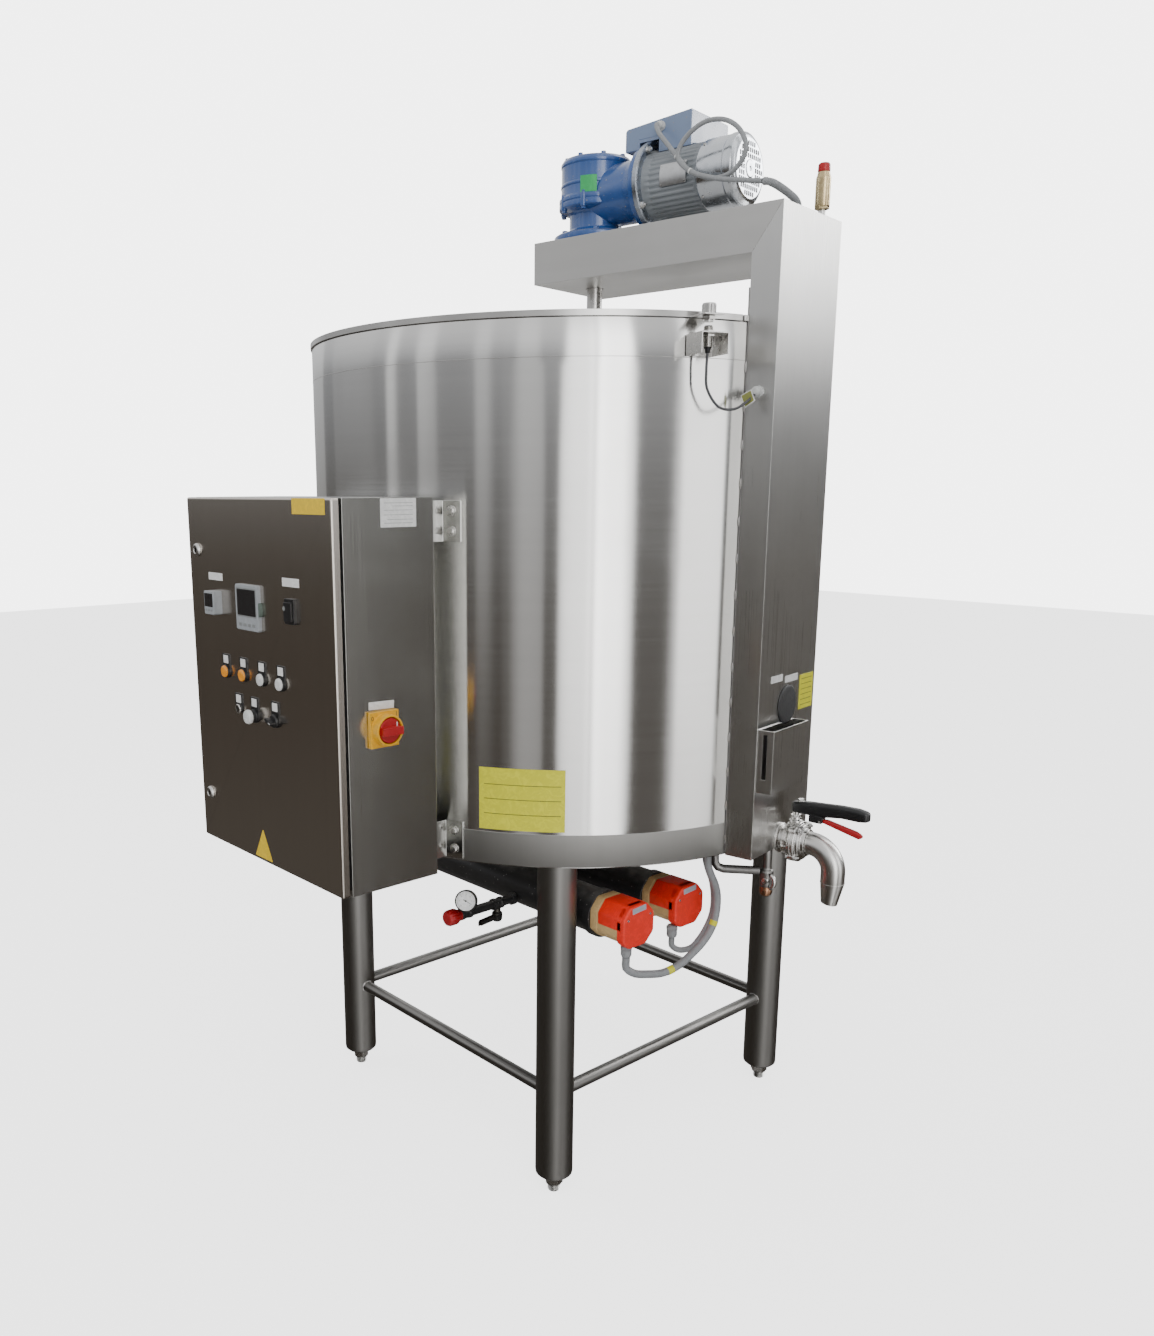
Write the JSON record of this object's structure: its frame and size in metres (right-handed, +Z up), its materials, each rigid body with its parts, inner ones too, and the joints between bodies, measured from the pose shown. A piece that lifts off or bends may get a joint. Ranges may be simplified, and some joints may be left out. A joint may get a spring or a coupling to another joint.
{
  "type": "batch pasteurizer",
  "caption": "Upright jacketed steel tank on legs with a hinged half lid, agitator arm with gear motor, switch cabinet, immersion heaters and a lever valve outlet.",
  "frame": {"origin": "on the floor, at the middle of the machine's outline seen from above", "axes": "+Z up; -Y towards the switch cabinet's door; +X towards the column side with the outlet"},
  "size_m": [1.5068, 1.5538, 2.426],
  "materials": {
    "brushed_steel": "brushed, upright grain on the tank",
    "dark_steel": "dull",
    "blue_paint": "semi-gloss",
    "grey_blue_paint": "satin",
    "dark_grey_paint": "satin",
    "cast_alloy": "satin",
    "brass": "satin",
    "black_plastic": "satin",
    "light_grey_plastic": "matt",
    "orange_plastic": "satin",
    "amber_lens": "gloss",
    "white_lens": "gloss",
    "yellow_plastic": "satin",
    "red_plastic": "satin",
    "grey_cable": "matt"
  },
  "bodies": {
    "machine": {"leg_front": "brushed_steel", "leg_right": "brushed_steel", "leg_back": "brushed_steel", "leg_left": "brushed_steel", "brace_front": "brushed_steel", "brace_right": "brushed_steel", "brace_back": "brushed_steel", "brace_left": "brushed_steel", "tank_jacket": "brushed_steel", "vessel_floor": "brushed_steel", "lid_rear": "brushed_steel", "sensor_bracket": "brushed_steel", "lid_sensor": "dark_steel", "arm_column": "brushed_steel", "arm_beam": "brushed_steel", "column_pocket": "brushed_steel", "column_disc": "black_plastic", "gearbox": "blue_paint", "motor": "dark_grey_paint", "fan_cover": "cast_alloy", "drive_box": "grey_blue_paint", "column_valve": "brass", "cabinet_body": "brushed_steel", "switch_plate": "yellow_plastic", "heater_tube_front": "dark_steel", "heater_tube_rear": "dark_steel", "heater_cap_front": "orange_plastic", "heater_cap_rear": "orange_plastic", "pressure_pipe": "dark_steel", "pressure_cock": "dark_steel", "relief_cap": "red_plastic", "pressure_gauge": "black_plastic", "outlet_valve": "brushed_steel", "outlet_spout": "brushed_steel", "drain_pipe": "dark_steel", "drain_cock": "brass", "motor_cable": "grey_cable", "drive_conduit": "grey_cable", "sensor_cable": "grey_cable", "heater_cable_front": "grey_cable", "heater_cable_rear": "grey_cable"},
    "door": {"cabinet_door": "brushed_steel", "main_controller": "light_grey_plastic", "small_controller": "light_grey_plastic", "door_socket": "black_plastic", "lamp_1": "amber_lens", "lamp_2": "amber_lens", "lamp_3": "white_lens", "lamp_4": "white_lens", "push_button": "white_lens", "selector_switch": "black_plastic"},
    "main_switch": {"switch_knob": "red_plastic"},
    "lid": {"lid_front": "brushed_steel"},
    "stirrer": {"agitator": "brushed_steel"},
    "lever": {"valve_handle": "black_plastic", "valve_trigger": "red_plastic"}
  },
  "joints": [
    {"name": "door_hinge", "type": "hinge", "parent": "machine", "child": "door", "pos_m": [0.1606, -0.7431, 1.217], "axis": [0, 0, 1], "range_deg": [0, 120]},
    {"name": "switch_turn", "type": "hinge", "parent": "machine", "child": "main_switch", "pos_m": [0.1669, -0.6456, 1.159], "axis": [1, 0, 0], "range_deg": [0, 90]},
    {"name": "lid_hinge", "type": "hinge", "parent": "machine", "child": "lid", "pos_m": [-0.0891, -0.0567, 1.98], "axis": [-0.9881, -0.1541, 0], "range_deg": [0, 85]},
    {"name": "stirrer_turn", "type": "hinge", "parent": "machine", "child": "stirrer", "pos_m": [0.0098, 0.1099, 1.5], "axis": [0, 0, 1], "continuous": true},
    {"name": "valve_lever", "type": "hinge", "parent": "machine", "child": "lever", "pos_m": [0.5829, 0.203, 0.925], "axis": [0, 0, 1], "range_deg": [0, 90]}
  ]
}
